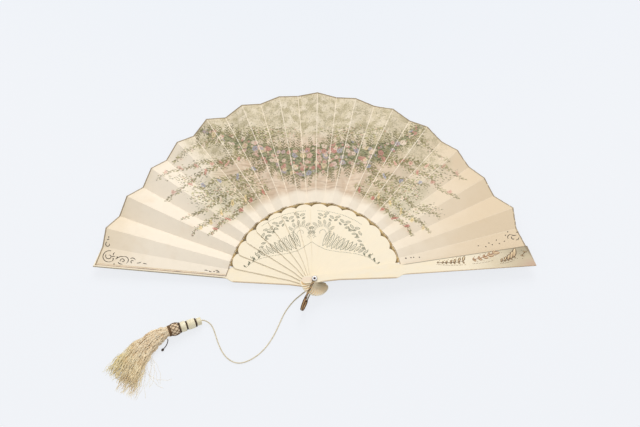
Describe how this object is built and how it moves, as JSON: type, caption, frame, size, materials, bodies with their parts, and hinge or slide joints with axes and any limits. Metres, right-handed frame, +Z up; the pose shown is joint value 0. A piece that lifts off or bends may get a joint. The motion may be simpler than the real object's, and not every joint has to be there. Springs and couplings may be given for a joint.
{
  "type": "folding fan",
  "caption": "Pleated folding fan opened out on one rivet, with scalloped blades, flared guards, a wire bail and a cord with a beaded tassel.",
  "frame": {"origin": "bottom centre of the opened fan without its cord and tassel, on the table that it lies on", "axes": "+X from the back guard towards the front guard, +Y from the rivet towards the top of the leaf, +Z up"},
  "size_m": [0.5434, 0.3955, 0.0259],
  "materials": {
    "back_guard": "polished cream bone with faint grain",
    "front_guard": "polished cream bone, carved with leafy scrolls",
    "sticks": "polished cream bone with small pricked leafy work",
    "leaf": "matt pleated paper, painted with foliage and blossom",
    "washers": "pearly, polished",
    "pin": "dark brown metal",
    "bail": "antique brown metal, worn",
    "cord": "thin cream cord",
    "beads": "cream bone beads",
    "dark_thread": "dark brown thread",
    "net": "tan head under a dark gold net",
    "skirt": "tan-cream wavy threads"
  },
  "bodies": {
    "root": {"back_guard": "back_guard", "leaf_panel_a00": "leaf", "rivet_pin": "pin", "rivet_washer_back": "washers", "rivet_washer_front": "washers", "cord": "cord", "tassel_bead_top": "beads", "tassel_band_upper": "dark_thread", "tassel_bead_middle": "beads", "tassel_band_lower": "dark_thread", "tassel_bead_lower": "beads", "tassel_netted_head": "net", "tassel_skirt": "skirt", "tassel_drop_string": "dark_thread"},
    "front_guard_arm": {"front_guard": "front_guard", "leaf_panel_a15": "leaf"},
    "stick_01_arm": {"stick_01": "sticks", "leaf_panel_a01": "leaf"},
    "stick_02_arm": {"stick_02": "sticks", "leaf_panel_a02": "leaf"},
    "stick_03_arm": {"stick_03": "sticks", "leaf_panel_a03": "leaf"},
    "stick_04_arm": {"stick_04": "sticks", "leaf_panel_a04": "leaf"},
    "stick_05_arm": {"stick_05": "sticks", "leaf_panel_a05": "leaf"},
    "stick_06_arm": {"stick_06": "sticks", "leaf_panel_a06": "leaf"},
    "stick_07_arm": {"stick_07": "sticks", "leaf_panel_a07": "leaf"},
    "stick_08_arm": {"stick_08": "sticks", "leaf_panel_a08": "leaf"},
    "stick_09_arm": {"stick_09": "sticks", "leaf_panel_a09": "leaf"},
    "stick_10_arm": {"stick_10": "sticks", "leaf_panel_a10": "leaf"},
    "stick_11_arm": {"stick_11": "sticks", "leaf_panel_a11": "leaf"},
    "stick_12_arm": {"stick_12": "sticks", "leaf_panel_a12": "leaf"},
    "stick_13_arm": {"stick_13": "sticks", "leaf_panel_a13": "leaf"},
    "stick_14_arm": {"stick_14": "sticks", "leaf_panel_a14": "leaf"},
    "pleat_00_flap": {"leaf_panel_b00": "leaf"},
    "pleat_01_flap": {"leaf_panel_b01": "leaf"},
    "pleat_02_flap": {"leaf_panel_b02": "leaf"},
    "pleat_03_flap": {"leaf_panel_b03": "leaf"},
    "pleat_04_flap": {"leaf_panel_b04": "leaf"},
    "pleat_05_flap": {"leaf_panel_b05": "leaf"},
    "pleat_06_flap": {"leaf_panel_b06": "leaf"},
    "pleat_07_flap": {"leaf_panel_b07": "leaf"},
    "pleat_08_flap": {"leaf_panel_b08": "leaf"},
    "pleat_09_flap": {"leaf_panel_b09": "leaf"},
    "pleat_10_flap": {"leaf_panel_b10": "leaf"},
    "pleat_11_flap": {"leaf_panel_b11": "leaf"},
    "pleat_12_flap": {"leaf_panel_b12": "leaf"},
    "pleat_13_flap": {"leaf_panel_b13": "leaf"},
    "pleat_14_flap": {"leaf_panel_b14": "leaf"},
    "bail_loop": {"bail": "bail"}
  },
  "joints": [
    {"name": "fan_fold", "type": "hinge", "parent": "root", "child": "front_guard_arm", "pos_m": [-0.00029, -0.11309, 0.00266], "axis": [0.0294, 0.0351, 0.999], "range_deg": [0, 165.6], "deforming": ["leaf_panel_a01", "leaf_panel_a02", "leaf_panel_a03", "leaf_panel_a04", "leaf_panel_a05", "leaf_panel_a06", "leaf_panel_a07", "leaf_panel_a08", "leaf_panel_a09", "leaf_panel_a10", "leaf_panel_a11", "leaf_panel_a12", "leaf_panel_a13", "leaf_panel_a14", "leaf_panel_b00", "leaf_panel_b01", "leaf_panel_b02", "leaf_panel_b03", "leaf_panel_b04", "leaf_panel_b05", "leaf_panel_b06", "leaf_panel_b07", "leaf_panel_b08", "leaf_panel_b09", "leaf_panel_b10", "leaf_panel_b11", "leaf_panel_b12", "leaf_panel_b13", "leaf_panel_b14"]},
    {"name": "stick_01_turn", "type": "hinge", "parent": "root", "child": "stick_01_arm", "pos_m": [-0.00029, -0.11309, 0.00266], "axis": [0.0294, 0.0351, 0.999], "range_deg": [-1, 12.04]},
    {"name": "stick_02_turn", "type": "hinge", "parent": "root", "child": "stick_02_arm", "pos_m": [-0.00029, -0.11309, 0.00266], "axis": [0.0294, 0.0351, 0.999], "range_deg": [-1, 22.66]},
    {"name": "stick_03_turn", "type": "hinge", "parent": "root", "child": "stick_03_arm", "pos_m": [-0.00029, -0.11309, 0.00266], "axis": [0.0294, 0.0351, 0.999], "range_deg": [-1, 33.35]},
    {"name": "stick_04_turn", "type": "hinge", "parent": "root", "child": "stick_04_arm", "pos_m": [-0.00029, -0.11309, 0.00266], "axis": [0.0294, 0.0351, 0.999], "range_deg": [-1, 44.11]},
    {"name": "stick_05_turn", "type": "hinge", "parent": "root", "child": "stick_05_arm", "pos_m": [-0.00029, -0.11309, 0.00266], "axis": [0.0294, 0.0351, 0.999], "range_deg": [-1, 54.93]},
    {"name": "stick_06_turn", "type": "hinge", "parent": "root", "child": "stick_06_arm", "pos_m": [-0.00029, -0.11309, 0.00266], "axis": [0.0294, 0.0351, 0.999], "range_deg": [-1, 65.83]},
    {"name": "stick_07_turn", "type": "hinge", "parent": "root", "child": "stick_07_arm", "pos_m": [-0.00029, -0.11309, 0.00266], "axis": [0.0294, 0.0351, 0.999], "range_deg": [-1, 76.8]},
    {"name": "stick_08_turn", "type": "hinge", "parent": "root", "child": "stick_08_arm", "pos_m": [-0.00029, -0.11309, 0.00266], "axis": [0.0294, 0.0351, 0.999], "range_deg": [-1, 87.84]},
    {"name": "stick_09_turn", "type": "hinge", "parent": "root", "child": "stick_09_arm", "pos_m": [-0.00029, -0.11309, 0.00266], "axis": [0.0294, 0.0351, 0.999], "range_deg": [-1, 98.95]},
    {"name": "stick_10_turn", "type": "hinge", "parent": "root", "child": "stick_10_arm", "pos_m": [-0.00029, -0.11309, 0.00266], "axis": [0.0294, 0.0351, 0.999], "range_deg": [-1, 110.13]},
    {"name": "stick_11_turn", "type": "hinge", "parent": "root", "child": "stick_11_arm", "pos_m": [-0.00029, -0.11309, 0.00266], "axis": [0.0294, 0.0351, 0.999], "range_deg": [-1, 121.39]},
    {"name": "stick_12_turn", "type": "hinge", "parent": "root", "child": "stick_12_arm", "pos_m": [-0.00029, -0.11309, 0.00266], "axis": [0.0294, 0.0351, 0.999], "range_deg": [-1, 132.71]},
    {"name": "stick_13_turn", "type": "hinge", "parent": "root", "child": "stick_13_arm", "pos_m": [-0.00029, -0.11309, 0.00266], "axis": [0.0294, 0.0351, 0.999], "range_deg": [-1, 144.1]},
    {"name": "stick_14_turn", "type": "hinge", "parent": "root", "child": "stick_14_arm", "pos_m": [-0.00029, -0.11309, 0.00266], "axis": [0.0294, 0.0351, 0.999], "range_deg": [-1, 155.56]},
    {"name": "pleat_00_fold", "type": "hinge", "parent": "root", "child": "pleat_00_flap", "pos_m": [-0.00024, -0.11302, 0.00458], "axis": [0.9842, -0.1757, -0.023], "range_deg": [-1, 165.39]},
    {"name": "pleat_01_fold", "type": "hinge", "parent": "stick_01_arm", "child": "pleat_01_flap", "pos_m": [-0.00021, -0.11299, 0.00549], "axis": [0.9375, -0.3481, -0.0058], "range_deg": [-1, 154.84]},
    {"name": "pleat_02_fold", "type": "hinge", "parent": "stick_02_arm", "child": "pleat_02_flap", "pos_m": [-0.00017, -0.11294, 0.00669], "axis": [0.8572, -0.5149, 0.0022], "range_deg": [-1, 155.7]},
    {"name": "pleat_03_fold", "type": "hinge", "parent": "stick_03_arm", "child": "pleat_03_flap", "pos_m": [-0.00014, -0.1129, 0.00789], "axis": [0.7467, -0.665, 0.0104], "range_deg": [-1, 156.6]},
    {"name": "pleat_04_fold", "type": "hinge", "parent": "stick_04_arm", "child": "pleat_04_flap", "pos_m": [-0.0001, -0.11286, 0.00908], "axis": [0.6093, -0.7927, 0.0186], "range_deg": [-1, 157.53]},
    {"name": "pleat_05_fold", "type": "hinge", "parent": "stick_05_arm", "child": "pleat_05_flap", "pos_m": [-0.00007, -0.11282, 0.01028], "axis": [0.4493, -0.893, 0.0264], "range_deg": [-1, 158.51]},
    {"name": "pleat_06_fold", "type": "hinge", "parent": "stick_06_arm", "child": "pleat_06_flap", "pos_m": [-0.00003, -0.11278, 0.01148], "axis": [0.272, -0.9617, 0.0337], "range_deg": [-1, 159.54]},
    {"name": "pleat_07_fold", "type": "hinge", "parent": "stick_07_arm", "child": "pleat_07_flap", "pos_m": [0, -0.11273, 0.01268], "axis": [0.0837, -0.9957, 0.04], "range_deg": [-1, 160.63]},
    {"name": "pleat_08_fold", "type": "hinge", "parent": "stick_08_arm", "child": "pleat_08_flap", "pos_m": [0.00004, -0.11269, 0.01388], "axis": [-0.1089, -0.993, 0.0451], "range_deg": [-1, 161.79]},
    {"name": "pleat_09_fold", "type": "hinge", "parent": "stick_09_arm", "child": "pleat_09_flap", "pos_m": [0.00007, -0.11265, 0.01508], "axis": [-0.2987, -0.9531, 0.0488], "range_deg": [-1, 163.03]},
    {"name": "pleat_10_fold", "type": "hinge", "parent": "stick_10_arm", "child": "pleat_10_flap", "pos_m": [0.00011, -0.11261, 0.01628], "axis": [-0.4783, -0.8767, 0.0509], "range_deg": [-1, 164.39]},
    {"name": "pleat_11_fold", "type": "hinge", "parent": "stick_11_arm", "child": "pleat_11_flap", "pos_m": [0.00014, -0.11257, 0.01748], "axis": [-0.6406, -0.7662, 0.0512], "range_deg": [-1, 165.89]},
    {"name": "pleat_12_fold", "type": "hinge", "parent": "stick_12_arm", "child": "pleat_12_flap", "pos_m": [0.00018, -0.11252, 0.01867], "axis": [-0.779, -0.6251, 0.0497], "range_deg": [-1, 167.61]},
    {"name": "pleat_13_fold", "type": "hinge", "parent": "stick_13_arm", "child": "pleat_13_flap", "pos_m": [0.00021, -0.11248, 0.01987], "axis": [-0.8875, -0.4585, 0.0462], "range_deg": [-1, 169.67]},
    {"name": "pleat_14_fold", "type": "hinge", "parent": "stick_14_arm", "child": "pleat_14_flap", "pos_m": [0.00025, -0.11244, 0.02107], "axis": [-0.9613, -0.2724, 0.0409], "range_deg": [-1, 176.6]},
    {"name": "bail_swing", "type": "hinge", "parent": "root", "child": "bail_loop", "pos_m": [-0.00029, -0.11309, 0.00266], "axis": [0.0294, 0.0351, 0.999], "range_deg": [-15, 95]}
  ],
  "couplings": [
    {"joint": "stick_01_turn", "follows": "fan_fold", "ratio": 0.06368},
    {"joint": "stick_02_turn", "follows": "fan_fold", "ratio": 0.12779},
    {"joint": "stick_03_turn", "follows": "fan_fold", "ratio": 0.19232},
    {"joint": "stick_04_turn", "follows": "fan_fold", "ratio": 0.25728},
    {"joint": "stick_05_turn", "follows": "fan_fold", "ratio": 0.32267},
    {"joint": "stick_06_turn", "follows": "fan_fold", "ratio": 0.38848},
    {"joint": "stick_07_turn", "follows": "fan_fold", "ratio": 0.45472},
    {"joint": "stick_08_turn", "follows": "fan_fold", "ratio": 0.52139},
    {"joint": "stick_09_turn", "follows": "fan_fold", "ratio": 0.58848},
    {"joint": "stick_10_turn", "follows": "fan_fold", "ratio": 0.656},
    {"joint": "stick_11_turn", "follows": "fan_fold", "ratio": 0.72395},
    {"joint": "stick_12_turn", "follows": "fan_fold", "ratio": 0.79232},
    {"joint": "stick_13_turn", "follows": "fan_fold", "ratio": 0.86112},
    {"joint": "stick_14_turn", "follows": "fan_fold", "ratio": 0.93035},
    {"joint": "pleat_00_fold", "follows": "fan_fold", "ratio": 0.98965},
    {"joint": "pleat_01_fold", "follows": "fan_fold", "ratio": 0.92595},
    {"joint": "pleat_02_fold", "follows": "fan_fold", "ratio": 0.93117},
    {"joint": "pleat_03_fold", "follows": "fan_fold", "ratio": 0.93659},
    {"joint": "pleat_04_fold", "follows": "fan_fold", "ratio": 0.94224},
    {"joint": "pleat_05_fold", "follows": "fan_fold", "ratio": 0.94815},
    {"joint": "pleat_06_fold", "follows": "fan_fold", "ratio": 0.95436},
    {"joint": "pleat_07_fold", "follows": "fan_fold", "ratio": 0.96093},
    {"joint": "pleat_08_fold", "follows": "fan_fold", "ratio": 0.96792},
    {"joint": "pleat_09_fold", "follows": "fan_fold", "ratio": 0.97544},
    {"joint": "pleat_10_fold", "follows": "fan_fold", "ratio": 0.98363},
    {"joint": "pleat_11_fold", "follows": "fan_fold", "ratio": 0.9927},
    {"joint": "pleat_12_fold", "follows": "fan_fold", "ratio": 1.0031},
    {"joint": "pleat_13_fold", "follows": "fan_fold", "ratio": 1.0155},
    {"joint": "pleat_14_fold", "follows": "fan_fold", "ratio": 1.0574}
  ]
}
